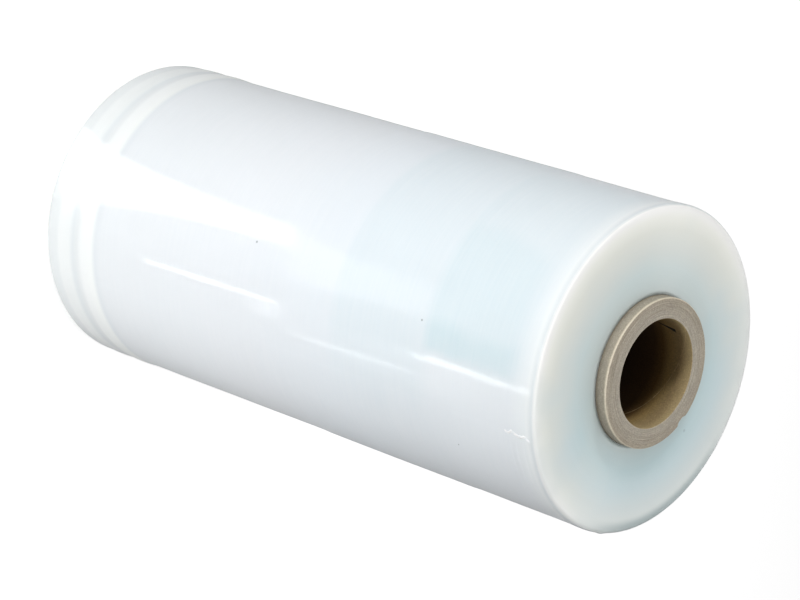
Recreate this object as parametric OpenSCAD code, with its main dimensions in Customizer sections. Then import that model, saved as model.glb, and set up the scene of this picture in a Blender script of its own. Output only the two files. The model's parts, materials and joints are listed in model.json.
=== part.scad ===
// Roll of clear shrink film, wound on a thick spiral paperboard core.
// It stands on the lower end of its core: the origin is the centre of the base and +Z runs up the axis.
// The winding axis, the film's true width and the core's bore are what a machine or a stand takes hold of.

/* [Core] */
// Bore of the core, the standard 3 inch size
core_bore_d = 76; // [60:1:90]
// Wall of the core
core_wall = 14.5; // [8:0.5:20]
// Length of core that stands out of the film at each end
core_proud = 8.8; // [4:0.2:20]
// Rounding of the core's outer rims
core_rim_r = 1.2; // [0.4:0.1:3]
// Plies that show on the core's cut ends
plies = 5; // [3:1:8]
// Width of the groove where two plies meet
ply_groove_w = 0.8; // [0.3:0.1:1.4]
// Depth of the groove where two plies meet
ply_groove_depth = 0.4; // [0.1:0.1:1]

/* [Film] */
// Outer diameter of the wound film
film_d = 229; // [180:1:300]
// Width of the film, along the axis
film_w = 490; // [380:5:620]
// Rounding of the wound film's outer corners
film_corner_r = 3; // [1:0.5:6]
// Bundles of turns that stand proud on each end face
turn_ridges = 5; // [3:1:8]
// How far one bundle of turns stands out of the next
turn_step = 0.2; // [0.1:0.05:0.8]

/* [Gauge bands] */
// Width of the foot band at the lower end
foot_band_w = 55; // [46:1:70]
// Width of the rim band at the upper end
rim_band_w = 10; // [6:1:20]
// Width of the shoulder band, below the rim band
shoulder_band_w = 90; // [60:1:110]
// Width of the waist band, below the shoulder band
waist_band_w = 143; // [100:1:170]
// Difference in radius between neighbouring bands
band_step = 0.3; // [0.1:0.05:1]
// Length of the slope from one band to the next
band_slope_w = 4; // [1:0.5:6]

/* [Hoops on the foot band] */
// Number of raised hoops
hoops = 2; // [1:1:2]
// Distance from the film's lower edge to the first hoop
hoop_inset = 12; // [8:1:14]
// Width of one hoop at its foot
hoop_w = 14; // [6:1:16]
// Distance from one hoop to the next
hoop_pitch = 23; // [19:1:24]
// How far a hoop stands out of the band
hoop_rise = 0.4; // [0.1:0.05:1]
// Length of the slope on each side of a hoop
hoop_slope_w = 3; // [1:0.5:3]

/* [Loose end] */
// Where the last turn ends, in degrees round from -Y towards +X
tail_at = 35.5; // [0:0.5:60]
// How far the end of the last turn stands off the roll
tail_rise = 0.2; // [0.1:0.05:1]
// Angle over which the last turn settles onto the roll
tail_sweep = 80; // [30:1:85]
// How far the last turn's edges lie inside the rounded corners
tail_margin = 1; // [0.5:0.5:2]

/* [Hidden] */
$fn = 144;

core_bore_r = core_bore_d / 2;
core_r = core_bore_r + core_wall;
film_r = film_d / 2;
film_low = core_proud;
film_top = film_low + film_w;
core_len = film_top + core_proud;
arc_steps = 4;
tail_shell = 2 * band_step + hoop_rise + tail_rise;
tail_heading = tail_at - 90;
tail_low = film_low + film_corner_r + tail_margin;
tail_top = film_top - film_corner_r - tail_margin;

// Where the gauge bands meet, up the roll
foot_top = film_low + foot_band_w;
waist_low = film_top - rim_band_w - shoulder_band_w - waist_band_w;
shoulder_low = film_top - rim_band_w - shoulder_band_w;
rim_low = film_top - rim_band_w;

// Points of a quarter round of radius r about c, from one angle to another
function quarter(c, r, from, to) =
    [for (i = [0 : arc_steps]) let (a = from + (to - from) * i / arc_steps) c + r * [cos(a), sin(a)]];

// The core's cut end, from the bore outwards: flat, with a V groove where two plies meet.
// out is 1 at the upper end and -1 at the lower one.
function core_end(z, out) = [
    for (i = [1 : plies - 1]) let (r = core_bore_r + core_wall * i / plies)
        each [[r - ply_groove_w / 2, z], [r, z - out * ply_groove_depth], [r + ply_groove_w / 2, z]]
];

// The wound film's end face, from the core outwards: every second bundle of turns lies a step back.
function film_end(z, out) =
    let (count = 2 * turn_ridges, pitch = (film_r - film_corner_r - core_r) / count)
    [for (i = [0 : count - 1]) let (back = (i + 1) % 2 * out * turn_step)
        each [[core_r + i * pitch, z - back], [core_r + (i + 1) * pitch, z - back]]];

// The slope between two bands: its lower end at radius r1 and its upper end at r2
function slope(z, r1, r2) = [[r1, z - band_slope_w / 2], [r2, z + band_slope_w / 2]];

// The film's outer line, upwards between the rounded corners
function film_side() = concat(
    [for (i = [0 : hoops - 1]) let (z = film_low + hoop_inset + i * hoop_pitch)
        each [[film_r, z], [film_r + hoop_rise, z + hoop_slope_w],
              [film_r + hoop_rise, z + hoop_w - hoop_slope_w], [film_r, z + hoop_w]]],
    slope(foot_top, film_r, film_r - band_step),
    slope(waist_low, film_r - band_step, film_r),
    slope(shoulder_low, film_r, film_r - band_step),
    slope(rim_low, film_r - band_step, film_r)
);

function reversed(list) = [for (i = [len(list) - 1 : -1 : 0]) list[i]];

// Spiral-wound paperboard tube, cut square at both ends
module core_tube() {
    rim_in = core_r - core_rim_r;
    color("#b8ad9b")
    rotate_extrude()
    polygon(concat(
        [[core_bore_r, 0]],
        core_end(0, -1),
        quarter([rim_in, core_rim_r], core_rim_r, -90, 0),
        quarter([rim_in, core_len - core_rim_r], core_rim_r, 0, 90),
        reversed(core_end(core_len, 1)),
        [[core_bore_r, core_len]]
    ));
}

// The wound turns, from the core's wall to the outer surface
module wound_turns() {
    corner_in = film_r - film_corner_r;
    rotate_extrude()
    polygon(concat(
        film_end(film_low, -1),
        quarter([corner_in, film_low + film_corner_r], film_corner_r, -90, 0),
        film_side(),
        quarter([corner_in, film_top - film_corner_r], film_corner_r, 0, 90),
        reversed(film_end(film_top, 1))
    ));
}

// The last turn: a thin shell set off the roll's axis, so that it stands proud
// at the film's free end and settles onto the roll further round
module last_turn() {
    rotate([0, 0, tail_heading])
    translate([tail_rise, 0, 0])
    rotate_extrude(angle = tail_sweep)
    polygon(concat(
        [[film_r - tail_shell, tail_low], [film_r, tail_low]],
        film_side(),
        [[film_r, tail_top], [film_r - tail_shell, tail_top]]
    ));
}

// All the turns of film are one solid, because they are wound tight on one another
module film_roll() {
    color("#e6eeec")
    union() {
        wound_turns();
        last_turn();
    }
}

core_tube();
film_roll();
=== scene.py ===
"""Roll of clear shrink film on a thick paperboard core: the looks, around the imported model."""

import json
import math

import bmesh
import bpy
from mathutils import Matrix, Vector, noise


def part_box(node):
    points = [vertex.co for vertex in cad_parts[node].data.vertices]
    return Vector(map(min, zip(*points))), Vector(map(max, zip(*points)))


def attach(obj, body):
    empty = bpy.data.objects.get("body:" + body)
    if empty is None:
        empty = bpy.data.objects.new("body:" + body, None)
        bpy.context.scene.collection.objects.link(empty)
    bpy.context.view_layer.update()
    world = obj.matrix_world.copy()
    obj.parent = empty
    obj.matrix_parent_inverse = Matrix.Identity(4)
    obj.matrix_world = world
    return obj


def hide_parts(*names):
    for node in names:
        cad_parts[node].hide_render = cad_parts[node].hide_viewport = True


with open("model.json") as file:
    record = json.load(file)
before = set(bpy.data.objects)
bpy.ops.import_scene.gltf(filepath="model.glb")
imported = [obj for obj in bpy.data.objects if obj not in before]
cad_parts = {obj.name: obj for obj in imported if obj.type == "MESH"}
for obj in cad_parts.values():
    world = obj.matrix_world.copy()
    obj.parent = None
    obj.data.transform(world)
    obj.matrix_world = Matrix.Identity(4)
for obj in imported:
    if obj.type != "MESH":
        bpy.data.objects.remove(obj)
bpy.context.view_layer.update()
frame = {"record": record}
scene = bpy.context.scene
scene.view_settings.view_transform = "Standard"

# Camera
# A long lens looks down on the standing roll from in front. The camera is turned on its side, so that the
# roll lies across the picture.

IMAGE_LONG_SIDE_MM = 36.0
LENS_MM = 132.71
CAMERA_AT = Vector((0.0, -1.6078, 1.6614))
CAMERA_AIMS_AT = Vector((0.0075, 0.0, 0.2719))
CAMERA_ROLL = math.radians(108.45)

camera_data = bpy.data.cameras.new("camera")
camera_data.sensor_width = IMAGE_LONG_SIDE_MM
camera_data.lens = LENS_MM
camera_data.clip_start = 0.05
camera_data.clip_end = 50.0
camera = bpy.data.objects.new("camera", camera_data)
scene.collection.objects.link(camera)
upright = (CAMERA_AIMS_AT - CAMERA_AT).to_track_quat("-Z", "Y").to_matrix().to_4x4()
camera.matrix_world = Matrix.Translation(CAMERA_AT) @ upright @ Matrix.Rotation(CAMERA_ROLL, 4, "Z")
scene.camera = camera

# Core tube
# A thick tube of grey-brown paperboard, wound from plies in a spiral and glued, then cut square by a saw.
# Its cut ends are fuzzy, with the plies as rings, and it stands a little out of the film at each end.

MM = 0.001
_, core_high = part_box("core_tube")
CORE_R = core_high.x
CORE_LEN = core_high.z
BORE_R = next(m for m in frame["record"]["mounts"] if m["name"] == "core_bore")["dims"]["r_mm"] * MM
CORE_RIM_R = 1.2 * MM
CORE_SEGMENTS = 320
BORE_ROWS = 60
# Where one ply meets the next, in millimetres out from the bore. Some gaps are closed tight by the glue.
PLY_GAPS = (1.5, 2.9, 4.4, 5.8, 7.3, 8.7, 10.2, 11.6, 13.0)
PLY_GAP_HALF = 0.16 * MM
PLY_GAP_DEPTH = 0.25 * MM
CHIP_AT, CHIP_HALF, CHIP_DEPTH = 151.0, 6.0, 1.2 * MM


def around(x, y):
    """The angle of a point from -Y towards +X, in degrees."""
    return math.degrees(math.atan2(x, -y))


def apart(first, second):
    """How far apart two angles are, in degrees."""
    return abs((first - second + 180) % 360 - 180)


def smooth(low, high, value):
    """0 below low and 1 above high, with a soft step between."""
    t = min(max((value - low) / (high - low), 0.0), 1.0)
    return t * t * (3 - 2 * t)


def way_out(at):
    """The direction straight out from the axis at an angle in degrees."""
    a = math.radians(at)
    return Vector((math.sin(a), -math.cos(a), 0))


def turned(outline, segments):
    """A closed solid of revolution about Z, from the radius and height of the points round its section."""
    bm = bmesh.new()
    points = [bm.verts.new((0.0, -radius, height)) for radius, height in outline]
    for first, second in zip(points, points[1:] + points[:1]):
        bm.edges.new((first, second))
    bmesh.ops.spin(
        bm, geom=bm.verts[:] + bm.edges[:], cent=(0, 0, 0), axis=(0, 0, 1),
        angle=math.tau, steps=segments, use_merge=True,
    )
    bmesh.ops.remove_doubles(bm, verts=bm.verts[:], dist=1e-7)
    bmesh.ops.recalc_face_normals(bm, faces=bm.faces[:])
    return bm


def finished(bm, name, *materials):
    """Turns a bmesh into a smooth-shaded piece that rides on the roll."""
    for face in bm.faces:
        face.smooth = True
    mesh = bpy.data.meshes.new(name)
    bm.to_mesh(mesh)
    bm.free()
    for material in materials:
        mesh.materials.append(material)
    piece = bpy.data.objects.new(name, mesh)
    scene.collection.objects.link(piece)
    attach(piece, "root")
    return piece


def linear(hex_colour):
    """An sRGB hex colour as linear red, green, blue and alpha."""
    parts = [int(hex_colour[i:i + 2], 16) / 255 for i in (1, 3, 5)]
    return [c / 12.92 if c <= 0.04045 else ((c + 0.055) / 1.055) ** 2.4 for c in parts] + [1.0]


def add_node(tree, kind, inputs=None, stops=(), **settings):
    """Adds a shader node with its settings and links.

    An input is a value, a socket, or another node, whose first output it takes. Stops fill a colour ramp.
    """
    made = tree.nodes.new("ShaderNode" + kind)
    for name, value in settings.items():
        setattr(made, name, value)
    for name, value in (inputs or {}).items():
        socket = made.inputs[name] if isinstance(name, int) else next(
            s for s in made.inputs if s.enabled and s.name == name
        )
        if isinstance(value, bpy.types.Node):
            value = next(s for s in value.outputs if s.enabled)
        if isinstance(value, bpy.types.NodeSocket):
            tree.links.new(value, socket)
        else:
            socket.default_value = value
    for count, (place, hex_colour) in enumerate(stops):
        elements = made.color_ramp.elements
        if count == len(elements):
            elements.new(1.0)
        elements[count].position = place
        elements[count].color = linear(hex_colour)
    return made


def new_tree(material):
    """A material's empty tree, with Object coordinates, height, radius and the way out from the axis."""
    material.use_nodes = True
    tree = material.node_tree
    tree.nodes.clear()
    where = add_node(tree, "TexCoord").outputs["Object"]
    xyz = add_node(tree, "SeparateXYZ", {"Vector": where})
    flat = add_node(tree, "CombineXYZ", {"X": xyz.outputs["X"], "Y": xyz.outputs["Y"]})
    radius = add_node(tree, "VectorMath", {0: flat}, operation="LENGTH")
    outward = add_node(tree, "VectorMath", {0: flat}, operation="NORMALIZE")
    return tree, where, xyz.outputs["Z"], radius, outward


def ring_place(tree, outward, along, round_scale, along_scale):
    """Coordinates that change slowly round the axis and fast along one direction, with no seam."""
    slow = add_node(tree, "VectorMath", {0: outward, "Scale": round_scale}, operation="SCALE")
    slow_xyz = add_node(tree, "SeparateXYZ", {"Vector": slow})
    return add_node(tree, "CombineXYZ", {
        "X": slow_xyz.outputs["X"], "Y": slow_xyz.outputs["Y"],
        "Z": add_node(tree, "Math", {0: along, 1: along_scale}, operation="MULTIPLY"),
    })


core_end = [(BORE_R, 0.3 * MM), (BORE_R + 0.3 * MM, 0.0)]
for gap in PLY_GAPS:
    r = BORE_R + gap * MM
    core_end += [(r - PLY_GAP_HALF, 0.0), (r, PLY_GAP_DEPTH), (r + PLY_GAP_HALF, 0.0)]
for turn in range(5):
    a = math.radians(90 - 22.5 * turn)
    core_end.append((CORE_R - CORE_RIM_R + CORE_RIM_R * math.cos(a), CORE_RIM_R * (1 - math.sin(a))))
core_outline = core_end + [(r, CORE_LEN - depth) for r, depth in reversed(core_end)]
core_outline += [(BORE_R, CORE_LEN * (1 - row / BORE_ROWS)) for row in range(1, BORE_ROWS)]

core_bm = turned(core_outline, CORE_SEGMENTS)
for v in core_bm.verts:
    r = math.hypot(v.co.x, v.co.y)
    at = around(v.co.x, v.co.y)
    out = Vector((v.co.x, v.co.y, 0)).normalized()
    near_end = 1 - smooth(0.0, 4 * MM, min(v.co.z, CORE_LEN - v.co.z))
    if near_end == 0:
        continue
    inward = -1 if v.co.z > CORE_LEN / 2 else 1
    rim = smooth(CORE_R - 3 * MM, CORE_R, r)
    # The saw leaves the end a tenth of a millimetre rough, and frays the rims
    rough = abs(noise.noise(v.co * 420)) * 0.10 * MM + abs(noise.noise(v.co * 90)) * 0.12 * MM
    fray = abs(noise.noise(v.co * 160)) * 0.25 * MM * rim
    if v.co.z > CORE_LEN / 2:
        # A bit of the outer plies is broken out of the upper rim
        chip = (1 - smooth(0.3 * CHIP_HALF, CHIP_HALF, apart(at, CHIP_AT))) * rim * CHIP_DEPTH
        fray += chip
        rough += chip
    v.co.z += inward * rough * near_end
    v.co -= out * (fray * near_end)

# Uncoated greyboard: matt, with short fibres of several browns pressed flat, and pale at its saw cuts. The
# fibres lie about 1 mm apart, the blotches 6 mm, and the plies' edges show as rings about 1 mm apart.
board = bpy.data.materials.new("greyboard_tube")
tree, where, height, radius, outward = new_tree(board)
fibre = add_node(tree, "TexNoise", {"Vector": where, "Scale": 0.9 / MM, "Detail": 4.0, "Roughness": 0.7})
mottle = add_node(tree, "TexNoise", {"Vector": where, "Scale": 0.16 / MM, "Detail": 3.0})
plies = add_node(tree, "TexNoise", {
    "Vector": ring_place(tree, outward, radius, 1.6, 1.1 / MM),
    "Scale": 1.0, "Detail": 2.0, "Roughness": 0.6,
})
across_wall = add_node(tree, "MapRange", {"Value": radius, "From Min": BORE_R, "From Max": CORE_R})
cut = add_node(tree, "ValToRGB", {"Fac": across_wall}, [
    (0.0, "#cccbc6"), (0.10, "#c2c1bb"), (0.20, "#bcbab4"), (0.55, "#b9b6ae"),
    (0.9, "#b4aea3"), (1.0, "#b6ac9a"),
])
ply_lines = add_node(tree, "ValToRGB", {"Fac": plies}, [
    (0.30, "#8a8276"), (0.42, "#b4ada2"), (0.60, "#c0bbb2"), (0.72, "#dedad2"),
])
cut = add_node(tree, "Mix", {"Factor": 0.5, "A": cut, "B": ply_lines}, data_type="RGBA")
# The skin is painted paler along the rim, a painted highlight, and darker just above the film, painted
# shade. The bore is browner than the cut ends, and its colour deepens inwards as painted shade, because
# light alone would leave it paler than a real bore.
SKIN_FADE, LINER_FADE = 10 * MM, 60 * MM
from_top = add_node(tree, "Math", {0: CORE_LEN, 1: height}, operation="SUBTRACT")
to_end = add_node(tree, "Math", {0: height, 1: from_top}, operation="MINIMUM")
# Painted highlight along the rim and painted shade just above the film
skin_and_painted_light = add_node(tree, "ValToRGB", {
    "Fac": add_node(tree, "MapRange", {"Value": to_end, "From Max": SKIN_FADE}),
}, [
    (0.0, "#e6e1d8"), (0.10, "#dcd7cd"), (0.2, "#bebab0"), (0.6, "#b8b3a9"),
    (0.85, "#989186"), (1.0, "#b0a99c"),
])
# Painted shade that deepens into the bore
liner_and_painted_shade = add_node(tree, "ValToRGB", {
    "Fac": add_node(tree, "MapRange", {"Value": to_end, "From Max": LINER_FADE}),
}, [
    (0.0, "#b8a781"), (0.15, "#c6b389"), (0.3, "#b39a68"), (0.42, "#705732"),
    (0.55, "#45321a"), (1.0, "#2a1d0d"),
])
inside = add_node(tree, "MapRange", {
    "Value": radius, "From Min": BORE_R + 0.4 * MM, "From Max": BORE_R + 0.1 * MM,
}, interpolation_type="SMOOTHSTEP")
outside = add_node(tree, "MapRange", {
    "Value": radius, "From Min": CORE_R - 1.0 * MM, "From Max": CORE_R - 0.3 * MM,
}, interpolation_type="SMOOTHSTEP")
wall = add_node(tree, "Mix", {"Factor": outside, "A": cut, "B": skin_and_painted_light}, data_type="RGBA")
wall = add_node(tree, "Mix", {"Factor": inside, "A": wall, "B": liner_and_painted_shade}, data_type="RGBA")
# The spiral seam of the inner ply: a hair-thin pale line that climbs 81 mm a turn, rubbed away in places.
# It passes one height at one angle, and its half width is a share of its pitch.
SEAM_PITCH = 81.1 * MM
SEAM_AT = 478.8 * MM
SEAM_AT_ANGLE = 121.0
SEAM_HALF, SEAM_SOLID = 0.0048, 0.002
xyz = add_node(tree, "SeparateXYZ", {"Vector": where})
front_way = add_node(tree, "Math", {0: xyz.outputs["Y"], 1: -1.0}, operation="MULTIPLY")
angle = add_node(tree, "Math", {0: xyz.outputs["X"], 1: front_way}, operation="ARCTAN2")
turns = add_node(tree, "Math", {0: angle, 1: math.tau}, operation="DIVIDE")
start = SEAM_AT - (SEAM_AT_ANGLE / 360 + 0.5) * SEAM_PITCH
over_start = add_node(tree, "Math", {0: height, 1: start}, operation="SUBTRACT")
climbed = add_node(tree, "Math", {0: over_start, 1: SEAM_PITCH}, operation="DIVIDE")
ahead = add_node(tree, "Math", {0: climbed, 1: turns}, operation="SUBTRACT")
phase = add_node(tree, "Math", {0: ahead}, operation="FRACT")
off_middle = add_node(tree, "Math", {0: phase, 1: 0.5}, operation="SUBTRACT")
off_seam = add_node(tree, "Math", {0: off_middle}, operation="ABSOLUTE")
seam = add_node(tree, "MapRange", {
    "Value": off_seam, "From Min": SEAM_HALF, "From Max": SEAM_SOLID,
}, interpolation_type="SMOOTHSTEP")
worn = add_node(tree, "MapRange", {
    "Value": mottle, "From Min": 0.40, "From Max": 0.60, "To Min": 0.25, "To Max": 0.8,
}, interpolation_type="SMOOTHSTEP")
seam = add_node(tree, "Math", {0: seam, 1: worn}, operation="MULTIPLY")
seam = add_node(tree, "Math", {0: seam, 1: inside}, operation="MULTIPLY")
wall = add_node(tree, "Mix", {"Factor": seam, "A": wall, "B": linear("#d8c9a2")}, data_type="RGBA")
# A dark pointed mark is painted on the liner near the upper mouth
DARK_MARK_AT, DARK_MARK_MIDDLE, DARK_MARK_HALF_LEN = -120.0, 487.3 * MM, 9 * MM
DARK_MARK_SLANT, DARK_MARK_HALF_WIDE = 0.3, 2.0 * MM
from_dark_mark = add_node(tree, "VectorMath", {
    0: where, 1: way_out(DARK_MARK_AT) * BORE_R + Vector((0, 0, DARK_MARK_MIDDLE)),
}, operation="SUBTRACT")
aside = add_node(tree, "VectorMath", {
    0: from_dark_mark, 1: way_out(DARK_MARK_AT + 90) + Vector((0, 0, DARK_MARK_SLANT)),
}, operation="DOT_PRODUCT")
aside = add_node(tree, "Math", {0: aside}, operation="ABSOLUTE")
up_dark_mark = add_node(tree, "SeparateXYZ", {"Vector": from_dark_mark}).outputs["Z"]
dark_mark_half = add_node(tree, "MapRange", {
    "Value": up_dark_mark, "From Min": -DARK_MARK_HALF_LEN, "From Max": DARK_MARK_HALF_LEN, "To Max": DARK_MARK_HALF_WIDE,
})
dark_mark = add_node(tree, "MapRange", {
    "Value": add_node(tree, "Math", {0: dark_mark_half, 1: aside}, operation="SUBTRACT"), "From Max": 0.4 * MM,
}, interpolation_type="SMOOTHSTEP")
below_top = add_node(tree, "MapRange", {
    "Value": up_dark_mark, "From Min": DARK_MARK_HALF_LEN + 0.3 * MM, "From Max": DARK_MARK_HALF_LEN - 0.3 * MM,
})
dark_mark = add_node(tree, "Math", {0: dark_mark, 1: below_top}, operation="MULTIPLY")
dark_mark = add_node(tree, "Math", {0: dark_mark, 1: inside}, operation="MULTIPLY")
wall = add_node(tree, "Mix", {"Factor": dark_mark, "A": wall, "B": linear("#1c140b")}, data_type="RGBA")
# Tufts of white liner fibre stand on the edge of the bore: angle, depth and size in mm
for at, depth, size in ((29.5, 0.9, 0.9), (32.5, 2.2, 1.2), (36.0, 0.6, 0.6)):
    far = add_node(tree, "VectorMath", {
        0: where, 1: way_out(at) * BORE_R + Vector((0, 0, CORE_LEN - depth * MM)),
    }, operation="DISTANCE")
    tuft = add_node(tree, "MapRange", {
        "Value": far, "From Min": size * MM, "From Max": 0.5 * size * MM,
    }, interpolation_type="SMOOTHSTEP")
    wall = add_node(tree, "Mix", {"Factor": tuft, "A": wall, "B": linear("#f2efe6")}, data_type="RGBA")
fibre_colour = add_node(tree, "ValToRGB", {"Fac": fibre}, [
    (0.28, "#6f675a"), (0.45, "#9c9384"), (0.58, "#b9b09f"), (0.75, "#efe9dc"),
])
mottle_colour = add_node(tree, "ValToRGB", {"Fac": mottle}, [(0.3, "#6c675f"), (0.7, "#959087")])
for share, colour in ((0.45, fibre_colour), (0.25, mottle_colour)):
    wall = add_node(
        tree, "Mix", {"Factor": share, "A": wall, "B": colour}, data_type="RGBA", blend_type="OVERLAY"
    )
fibre_bump = add_node(tree, "Bump", {"Height": fibre, "Strength": 0.6, "Distance": 0.25 * MM})
shader = add_node(tree, "BsdfPrincipled", {
    "Base Color": wall, "Roughness": 0.9, "Normal": fibre_bump, "Specular IOR Level": 0.25,
})
add_node(tree, "OutputMaterial", {"Surface": shader})

core = finished(core_bm, "core", board)
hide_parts("core_tube")

# Film
# Clear PVC film, thousands of turns wound tight on the core, so that it reads as one milky body.
# Its gauge is uneven across the web, which winds up as bands and hoops. The last turn ends in a free edge.

film_low, film_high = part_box("film_roll")
FILM_R = 114.5 * MM
FILM_LOW, FILM_TOP = film_low.z, film_high.z
FILM_CORNER_R = 3.0 * MM
FILM_SEGMENTS = 288
CORNER_STEPS = 5
FACE_ROWS = 22
BAND_STEP = 0.3 * MM
BAND_SLOPE = 9 * MM
# Where the gauge bands meet, from the film's lower edge upwards: foot, body, waist, shoulder and rim
FOOT_TOP, WAIST_LOW, SHOULDER_LOW, RIM_LOW = (FILM_LOW + s * MM for s in (55, 247, 390, 480))
HOOPS_AT = (12 * MM, 35 * MM)
HOOP_W, HOOP_SLOPE, HOOP_RISE = 14 * MM, 4 * MM, 0.4 * MM
TAIL_AT, TAIL_HALF, TAIL_RISE = 35.5, 0.15, 0.05 * MM
# Fine wrinkles run on round the roll from the upper corner of the free edge, and drift up with each degree
WRINKLES_AT = (469.5 * MM, 474.5 * MM, 481.0 * MM)
WRINKLE_HALF, WRINKLE_RISE, WRINKLE_DRIFT = 1.4 * MM, 0.28 * MM, 0.012 * MM
SOFT_WINDING = 0.22 * MM


def surface_lift(at, s):
    """How far the side lies off a plain cylinder, at an angle and a height over the film's lower edge."""
    lift = -BAND_STEP * smooth(-BAND_SLOPE / 2, BAND_SLOPE / 2, s + FILM_LOW - FOOT_TOP)
    lift += BAND_STEP * smooth(-BAND_SLOPE / 2, BAND_SLOPE / 2, s + FILM_LOW - WAIST_LOW)
    lift -= BAND_STEP * smooth(-BAND_SLOPE / 2, BAND_SLOPE / 2, s + FILM_LOW - SHOULDER_LOW)
    lift += BAND_STEP * smooth(-BAND_SLOPE / 2, BAND_SLOPE / 2, s + FILM_LOW - RIM_LOW)
    for hoop in HOOPS_AT:
        rising = smooth(0, HOOP_SLOPE, s - hoop)
        falling = 1 - smooth(HOOP_W - HOOP_SLOPE, HOOP_W, s - hoop)
        lift += HOOP_RISE * rising * falling
    past = (at - TAIL_AT) % 360
    if past < 90:
        lift += TAIL_RISE * math.cos(math.radians(past))
        for wrinkle in WRINKLES_AT:
            share = 1 - abs(s - wrinkle - WRINKLE_DRIFT * past) / WRINKLE_HALF
            lift += max(share, 0.0) * WRINKLE_RISE * smooth(0, 6, past) * (1 - smooth(20, 34, past))
    # The winding is soft enough to be a tenth of a millimetre uneven over a hand's width
    return lift + noise.noise(way_out(at) * 1.1 + Vector((0, 0, (s + FILM_LOW) * 14))) * SOFT_WINDING


def corner(low):
    """Points round the film's rounded corner, from the end face to the side, as radius and height."""
    for turn in range(1, CORNER_STEPS):
        a = math.radians(90 * turn / CORNER_STEPS)
        yield FILM_R - FILM_CORNER_R * (1 - math.sin(a)), low + FILM_CORNER_R * (1 - math.cos(a))


face_edge = FILM_R - FILM_CORNER_R
film_face = [CORE_R + (face_edge - CORE_R) * row / FACE_ROWS for row in range(FACE_ROWS + 1)]
side_len = FILM_TOP - FILM_LOW
# Rows up the side lie close where the surface has detail, in millimetres: from, to and spacing
side_rows = []
for start, stop, spacing in (
    (3, 63, 1.25), (63, 240, 5.9), (240, 254, 1.0), (254, 383, 5.86),
    (383, 397, 1.0), (397, 463, 5.5), (463, 487, 0.7),
):
    count = round((stop - start) / spacing)
    side_rows += [start + (stop - start) * row / count for row in range(count)]
side_rows.append(487)
film_outline = [(r, FILM_LOW) for r in film_face] + list(corner(FILM_LOW))
film_outline += [(FILM_R, FILM_LOW + s * MM) for s in side_rows]
film_outline += [(r, FILM_TOP + FILM_LOW - z) for r, z in reversed(list(corner(FILM_LOW)))]
film_outline += [(r, FILM_TOP) for r in reversed(film_face)]

film_bm = turned(film_outline, FILM_SEGMENTS)
SEGMENT = 360 / FILM_SEGMENTS
# The outermost turns stick out a little at one place on the upper rim
LIP_AT, LIP_HALF, LIP_FLAT, LIP_RISE = 96.0, 2.4, 0.8, 0.5 * MM
before_tail = TAIL_AT // SEGMENT * SEGMENT
for v in film_bm.verts:
    r = math.hypot(v.co.x, v.co.y)
    at = around(v.co.x, v.co.y)
    side = smooth(FILM_R - 1.5 * MM, FILM_R - 0.2 * MM, r)
    # Two columns of points close up on the free edge, so that it is a crisp step
    if apart(at, before_tail) < 0.01:
        at = TAIL_AT - TAIL_HALF
    elif apart(at, before_tail + SEGMENT) < 0.01:
        at = TAIL_AT + TAIL_HALF
    out = way_out(at)
    s = v.co.z - FILM_LOW
    # The turns lie a few hundredths of a millimetre uneven on the end faces, in rings
    if side < 1 and (s < FILM_CORNER_R or s > side_len - FILM_CORNER_R):
        ring = noise.noise(Vector((out.x * 0.8, out.y * 0.8, r * 260))) * 0.12 * MM * (1 - side)
        v.co.z += ring if s < side_len / 2 else -ring
    r += surface_lift(at, s) * side
    if s > side_len / 2:
        lip = (1 - smooth(LIP_FLAT, LIP_HALF, apart(at, LIP_AT))) * smooth(FILM_R - FILM_CORNER_R, FILM_R, r)
        r += LIP_RISE * lip
    v.co.x, v.co.y = out.x * r, out.y * r

# The side is the smooth outer turn, glossy over a body in which light sinks in and scatters, so it is milky
# white. Streaks run round it, about 2 mm apart, from the web's uneven gauge. Its coat is weaker than a full
# gloss, so that the limb stays darker than a white room behind it.
film_side = bpy.data.materials.new("wound_pvc_film")
tree, where, height, _, outward = new_tree(film_side)
up_roll = add_node(tree, "MapRange", {"Value": height, "From Min": FILM_LOW, "From Max": FILM_TOP})
# Up the side the colour paints the two hoops at the foot paler, as painted highlight, with darker lines
# beside them as painted shade. Just under the upper rim it paints a pale band, a grey line and a pale
# corner: painted highlight and painted shade.
body = add_node(tree, "ValToRGB", {"Fac": up_roll}, [
    (0.0, "#edf1f2"), (0.024, "#eff3f4"), (0.031, "#f5f9f9"), (0.053, "#f4f8f8"), (0.061, "#e8edef"),
    (0.073, "#ecf0f1"), (0.082, "#f6fafa"), (0.105, "#f8fcfb"), (0.113, "#e8edf0"), (0.125, "#ecf0f3"),
    (0.45, "#ecf0f4"), (0.60, "#eaf0f5"), (0.955, "#edf2f6"),
    (0.985, "#f0f5f7"), (0.9905, "#f4f8f9"), (0.9955, "#dfe6e9"), (1.0, "#f8f9f6"),
])
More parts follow.
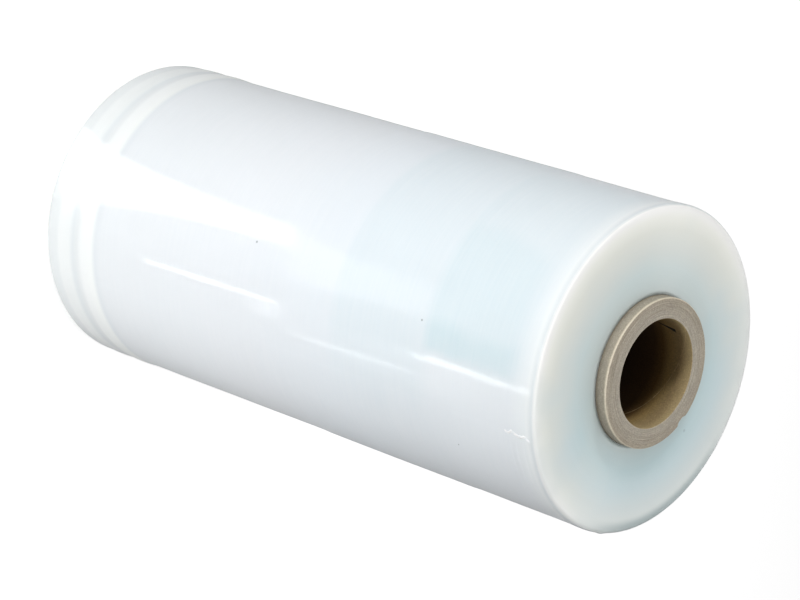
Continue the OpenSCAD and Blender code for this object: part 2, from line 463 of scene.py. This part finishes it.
# Where no air is left between the turns the film wets out, and shows clearer and more blue-green. Each patch
# has a middle and half width in degrees, a soft edge, its lowest and highest place, and a strength. Clouds
# about 90 mm apart make their borders uneven.
clouds = add_node(tree, "TexNoise", {"Vector": where, "Scale": 0.011 / MM, "Detail": 2.0})
uneven = add_node(tree, "MapRange", {
    "Value": clouds, "From Min": 0.3, "From Max": 0.7, "To Min": -0.10, "To Max": 0.10,
})
for middle, half, soft, low, high, strength in (
    (12.5, 6.5, 3, 0.80, 0.955, 0.60), (-6, 21, 6, 0.80, 0.955, 0.30), (-26, 43, 9, 0.795, 0.975, 0.30),
    (-25, 60, 20, 0.62, 0.80, 0.25), (160, 55, 12, 0.15, 0.42, 0.5),
):
    cosine = add_node(tree, "VectorMath", {0: outward, 1: way_out(middle)}, operation="DOT_PRODUCT")
    away = add_node(tree, "Math", {0: cosine}, operation="ARCCOSINE")
    away = add_node(tree, "Math", {0: away, 1: uneven}, operation="ADD")
    wet = add_node(tree, "MapRange", {
        "Value": away, "From Min": math.radians(half + soft), "From Max": math.radians(half - soft),
        "To Max": strength,
    }, interpolation_type="SMOOTHSTEP")
    for place, edge in ((low, 0.012), (high, -0.02)):
        within = add_node(tree, "MapRange", {
            "Value": up_roll, "From Min": place - edge, "From Max": place + edge,
        }, interpolation_type="SMOOTHSTEP")
        wet = add_node(tree, "Math", {0: wet, 1: within}, operation="MULTIPLY")
    body = add_node(tree, "Mix", {"Factor": wet, "A": body, "B": linear("#d6e7ec")}, data_type="RGBA")
cloud_colour = add_node(tree, "ValToRGB", {"Fac": clouds}, [(0.35, "#8ca2ab"), (0.65, "#b7bcc0")])
streaks = add_node(tree, "TexNoise", {
    "Vector": ring_place(tree, outward, height, 2.2, 0.48 / MM),
    "Scale": 1.0, "Detail": 3.0, "Roughness": 0.6,
})
streak_colour = add_node(tree, "ValToRGB", {"Fac": streaks}, [(0.35, "#8d8d8d"), (0.65, "#b4b4b4")])
for share, colour in ((0.08, cloud_colour), (0.20, streak_colour)):
    body = add_node(
        tree, "Mix", {"Factor": share, "A": body, "B": colour}, data_type="RGBA", blend_type="OVERLAY"
    )
# Bits of grit under the last turn: height over the film's lower edge in mm, angle and size in mm
for s, at, size in ((219.0, 0.0, 1.3), (385.0, 7.5, 1.1), (417.0, 49.0, 0.8)):
    far = add_node(tree, "VectorMath", {
        0: where, 1: way_out(at) * FILM_R + Vector((0, 0, FILM_LOW + s * MM)),
    }, operation="DISTANCE")
    grit = add_node(tree, "MapRange", {
        "Value": far, "From Min": size * MM, "From Max": 0.3 * size * MM, "To Max": 0.75,
    }, interpolation_type="SMOOTHSTEP")
    body = add_node(tree, "Mix", {"Factor": grit, "A": body, "B": linear("#8d979b")}, data_type="RGBA")
# The gloss is broken up by ripples about 1 mm apart
fine = add_node(tree, "TexNoise", {
    "Vector": ring_place(tree, outward, height, 5.0, 0.9 / MM), "Scale": 1.0, "Detail": 2.0,
})
fine_bump = add_node(tree, "Bump", {"Height": fine, "Strength": 0.4, "Distance": 0.015 * MM})
shader = add_node(tree, "BsdfPrincipled", {
    "Base Color": body, "Roughness": 0.6, "Specular IOR Level": 0.0,
    "Coat Weight": 0.15, "Coat Roughness": 0.1, "Coat IOR": 1.53, "Coat Normal": fine_bump,
    "Subsurface Weight": 0.35, "Subsurface Radius": (1.0, 1.0, 1.0), "Subsurface Scale": 0.010,
})
add_node(tree, "OutputMaterial", {"Surface": shader})

# The end faces are the slit edges of the turns: satin, grooved in rings, so that light draws out along the
# radius. The film is clearest near the core, and white where light comes in through the outer turns. Real
# turns are a few hundredths of a millimetre apart, so the rings are drawn 1.4 mm apart to show.
film_edges = bpy.data.materials.new("slit_film_edges")
tree, where, _, radius, outward = new_tree(film_edges)
across = add_node(tree, "MapRange", {"Value": radius, "From Min": CORE_R, "From Max": FILM_R})
painted_lit = add_node(tree, "ValToRGB", {"Fac": across}, [
    (0.0, "#bcc5c4"), (0.12, "#c6d1d0"), (0.3, "#d0dbda"), (0.5, "#dce1dd"), (0.72, "#e7e9e2"),
    (0.85, "#f3f4ed"), (0.93, "#fcfcf7"), (1.0, "#fefefb"),
])
painted_shaded = add_node(tree, "ValToRGB", {"Fac": across}, [
    (0.0, "#b6c0be"), (0.12, "#bccccd"), (0.3, "#c4d8db"), (0.5, "#cedee1"), (0.72, "#dae3e3"),
    (0.87, "#e2e8e6"), (1.0, "#e8edeb"),
])
# Painted light and shade: paler and warm towards the light, darker and cool away from it, with the border
# made uneven by haze about 60 mm apart
AWAY_FROM_LIGHT = (0.8, 0.6, 0.0)
lean = add_node(tree, "VectorMath", {0: outward, 1: AWAY_FROM_LIGHT}, operation="DOT_PRODUCT")
haze = add_node(tree, "TexNoise", {"Vector": where, "Scale": 0.016 / MM, "Detail": 2.0})
haze_share = add_node(tree, "MapRange", {
    "Value": haze, "From Min": 0.3, "From Max": 0.7, "To Min": -0.5, "To Max": 0.5,
}, interpolation_type="SMOOTHSTEP")
painted_shade_share = add_node(tree, "MapRange", {
    "Value": add_node(tree, "Math", {0: lean, 1: haze_share}, operation="ADD"),
    "From Min": -0.9, "From Max": 0.9,
}, interpolation_type="SMOOTHSTEP")
edge_colour = add_node(tree, "Mix", {"Factor": painted_shade_share, "A": painted_lit, "B": painted_shaded}, data_type="RGBA")
# Painted shade: on the side turned from the light the rim is painted as a darker line
RIM_SHADE_FROM, RIM_SHADE_TO = 104 * MM, 111 * MM
rim_shade_side = add_node(tree, "MapRange", {
    "Value": lean, "From Min": 0.72, "From Max": 1.0, "To Max": 0.75,
}, interpolation_type="SMOOTHSTEP")
rim_shade = add_node(tree, "MapRange", {
    "Value": radius, "From Min": RIM_SHADE_FROM, "From Max": RIM_SHADE_TO,
}, interpolation_type="SMOOTHSTEP")
rim_shade = add_node(tree, "Math", {0: rim_shade_side, 1: rim_shade}, operation="MULTIPLY")
edge_colour = add_node(tree, "Mix", {
    "Factor": rim_shade, "A": edge_colour, "B": linear("#97a8aa"),
}, data_type="RGBA")
rings = add_node(tree, "TexNoise", {
    "Vector": ring_place(tree, outward, radius, 0.9, 0.7 / MM),
    "Scale": 1.0, "Detail": 3.0, "Roughness": 0.7,
})
ring_colour = add_node(tree, "ValToRGB", {"Fac": rings}, [(0.35, "#8d8d8d"), (0.65, "#b4b4b4")])
edge_colour = add_node(
    tree, "Mix", {"Factor": 0.06, "A": edge_colour, "B": ring_colour}, data_type="RGBA", blend_type="OVERLAY"
)
# A speck of dirt sits on the upper face
SPECK_R, SPECK_AT, SPECK_HALF = 71 * MM, 154.0, 1.6 * MM
speck = add_node(tree, "VectorMath", {
    0: where, 1: way_out(SPECK_AT) * SPECK_R + Vector((0, 0, FILM_TOP)),
}, operation="DISTANCE")
speck = add_node(tree, "MapRange", {
    "Value": speck, "From Min": SPECK_HALF, "From Max": 0.3 * SPECK_HALF, "To Max": 0.6,
}, interpolation_type="SMOOTHSTEP")
edge_colour = add_node(tree, "Mix", {
    "Factor": speck, "A": edge_colour, "B": linear("#9fb0b5"),
}, data_type="RGBA")
round_about = add_node(tree, "VectorMath", {0: (0.0, 0.0, 1.0), 1: outward}, operation="CROSS_PRODUCT")
ring_bump = add_node(tree, "Bump", {"Height": rings, "Strength": 0.3, "Distance": 0.04 * MM})
shader = add_node(tree, "BsdfPrincipled", {
    "Base Color": edge_colour, "Roughness": 0.42, "IOR": 1.53, "Normal": ring_bump,
    "Anisotropic": 0.85, "Tangent": round_about,
    "Subsurface Weight": 0.5, "Subsurface Radius": (1.0, 1.0, 1.0), "Subsurface Scale": 0.012,
})
add_node(tree, "OutputMaterial", {"Surface": shader})
for face in film_bm.faces:
    if abs(face.normal.z) > 0.85:
        face.material_index = 1

film = finished(film_bm, "film", film_side, film_edges)
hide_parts("film_roll")

# Creased corner of the free edge
# The upper corner of the last turn is crumpled into a narrow ridge, where the film was torn off and pressed
# down. It clings to the turn under it, and its creases have gone white.

CREASE_LOW, CREASE_LEN = 463.5 * MM, 23.5 * MM
CREASE_HALF = 1.5 * MM
CREASE_RISE = 0.75 * MM
CREASE_DEEP = 0.5 * MM
crease_bm = bmesh.new()
bmesh.ops.create_grid(crease_bm, x_segments=56, y_segments=10, size=0.5)
for v in crease_bm.verts:
    along, over = v.co.x + 0.5, v.co.y * 2
    ends = smooth(0, 0.08, along) * (1 - smooth(0.92, 1.0, along))
    sway = noise.noise(Vector((along * 5.5, 3.7, 0))) * 2.6 * MM + (along - 0.5) * 1.2 * MM
    narrow = 0.55 + 0.9 * abs(noise.noise(Vector((along * 9, 9.1, 0))))
    crumple = noise.noise(Vector((along * 26, over * 1.4, 1.3)))
    rise = (1 - over * over) * (0.35 + 0.9 * abs(crumple)) * CREASE_RISE * ends
    s = CREASE_LOW + along * CREASE_LEN
    at = TAIL_AT + math.degrees((sway + over * CREASE_HALF * narrow * (0.3 + 0.7 * ends)) / FILM_R)
    v.co = way_out(at) * (FILM_R + surface_lift(at, s) - 0.06 * MM + rise) + Vector((0, 0, FILM_LOW + s))
sunk = bmesh.ops.extrude_face_region(crease_bm, geom=crease_bm.faces[:])["geom"]
for v in (item for item in sunk if isinstance(item, bmesh.types.BMVert)):
    v.co -= Vector((v.co.x, v.co.y, 0)).normalized() * CREASE_DEEP
bmesh.ops.recalc_face_normals(crease_bm, faces=crease_bm.faces[:])

# Stress-whitened PVC: the same film, but cloudy white in spots about 2 mm apart, and less glossy
creased = bpy.data.materials.new("stress_whitened_film")
tree, where, *_ = new_tree(creased)
cloudy = add_node(tree, "TexNoise", {"Vector": where, "Scale": 0.5 / MM, "Detail": 2.0})
crease_colour = add_node(tree, "ValToRGB", {"Fac": cloudy}, [(0.35, "#eff4f7"), (0.6, "#fdfefe")])
shader = add_node(tree, "BsdfPrincipled", {"Base Color": crease_colour, "Roughness": 0.3, "IOR": 1.53})
add_node(tree, "OutputMaterial", {"Surface": shader})
crease = finished(crease_bm, "creased_corner", creased)

# Floor
# A plain pale shooting table, matt and wide enough to fill the picture. The camera sees it white, with the
# roll's soft shadow on it.

FLOOR_HALF = 6.0
floor_bm = bmesh.new()
bmesh.ops.create_grid(floor_bm, x_segments=1, y_segments=1, size=FLOOR_HALF)
floor_mesh = bpy.data.meshes.new("floor")
floor_bm.to_mesh(floor_mesh)
floor_bm.free()
floor = bpy.data.objects.new("floor", floor_mesh)
scene.collection.objects.link(floor)


def to_camera(tree):
    """1 for what the camera, glossy or transmitted rays see, and 0 for light on the object."""
    path = add_node(tree, "LightPath")
    seen = add_node(tree, "Math", {
        0: path.outputs["Is Camera Ray"], 1: path.outputs["Is Glossy Ray"],
    }, operation="MAXIMUM")
    return add_node(tree, "Math", {0: seen, 1: path.outputs["Is Transmission Ray"]}, operation="MAXIMUM")


floor_material = bpy.data.materials.new("shooting_table")
floor_material.use_nodes = True
tree = floor_material.node_tree
tree.nodes.clear()
matt = add_node(tree, "BsdfDiffuse", {"Color": linear("#f0f0f0")})
glow = add_node(tree, "Emission", {"Color": (1, 1, 1, 1), "Strength": 0.72})
lit = add_node(tree, "AddShader", {0: matt, 1: glow})
table_mix = add_node(tree, "MixShader", {"Fac": to_camera(tree), 1: matt, 2: lit})
add_node(tree, "OutputMaterial", {"Surface": table_mix})
floor_mesh.materials.append(floor_material)

# Light
# Soft lamps round the table and pale surroundings, all at a plain level. Strip lamps lie on the table where
# the film mirrors them to the camera, so that long soft glints lie along it. They light no matt surface.

world = bpy.data.worlds.new("pale_room")
scene.world = world
world.use_nodes = True
tree = world.node_tree
tree.nodes.clear()
room = add_node(tree, "Background", {"Color": (1, 1, 1, 1), "Strength": 0.08})
white = add_node(tree, "Background", {"Color": (1, 1, 1, 1), "Strength": 1.0})
room_mix = add_node(tree, "MixShader", {"Fac": to_camera(tree), 1: room, 2: white})
add_node(tree, "OutputWorld", {"Surface": room_mix})

ROLL_MIDDLE = Vector((0, 0, 0.25))
STRIP_HEIGHT = 3 * MM


def softbox(name, at, elevation, distance, size, power):
    """A square soft lamp that faces the roll's middle, from an angle round it and an elevation."""
    e = math.radians(elevation)
    away = way_out(at) * math.cos(e) + Vector((0, 0, math.sin(e)))
    lamp = bpy.data.lights.new(name, "AREA")
    lamp.shape = "SQUARE"
    lamp.size = size
    lamp.energy = power
    made = bpy.data.objects.new(name, lamp)
    made.location = ROLL_MIDDLE + distance * away
    made.rotation_mode = "QUATERNION"
    made.rotation_quaternion = (-away).to_track_quat("-Z", "Y")
    made.visible_camera = False
    scene.collection.objects.link(made)


def strip(name, from_s, to_s, from_at, to_at, width, radiance):
    """A strip lamp on the table, which the film mirrors to the camera between two heights on its side in mm.

    Its glint runs from one angle to another. The strip is so many metres wide, so the glint narrows upwards.
    """
    ends = []
    for s, at in ((from_s, from_at), (to_s, to_at)):
        normal = way_out(at)
        point = normal * FILM_R + Vector((0, 0, FILM_LOW + s * MM))
        view = (CAMERA_AT - point).normalized()
        mirrored = 2 * normal.dot(view) * normal - view
        ends.append(point + mirrored * (point.z - STRIP_HEIGHT) / -mirrored.z)
    along = (ends[1] - ends[0]).normalized()
    across = along.cross(Vector((0, 0, -1)))
    lamp = bpy.data.lights.new(name, "AREA")
    lamp.shape = "RECTANGLE"
    lamp.size = width
    lamp.size_y = (ends[1] - ends[0]).length
    lamp.energy = radiance * math.pi * lamp.size * lamp.size_y
    made = bpy.data.objects.new(name, lamp)
    turn = Matrix((across, along, across.cross(along))).transposed().to_4x4()
    made.matrix_world = Matrix.Translation((ends[0] + ends[1]) / 2) @ turn
    made.visible_camera = False
    made.visible_diffuse = False
    scene.collection.objects.link(made)


# Angles are in degrees, distances and sizes in metres, and powers in watts
softbox("front", 5, 5, 2.4, 0.8, 33)
softbox("foot", 45, -25, 0.52, 0.2, 0.4)
softbox("key", -66, 25, 2.4, 0.4, 16.5)
softbox("overhead", 0, 90, 1.25, 0.45, 6.6)
strip("glint_body", 3, 249, -4, -5.5, 0.082, 16)
strip("glint_waist", 249, 396, 1.5, 1.5, 0.19, 6)
strip("line_body", 116, 246, 19.8, 18.6, 0.010, 32)
strip("line_body_end", 229, 246, 21.5, 21.5, 0.075, 14)
strip("line_waist", 270, 384, 27.6, 26.0, 0.013, 23)
strip("line_shoulder", 391, 470, 19.2, 19.8, 0.045, 28)
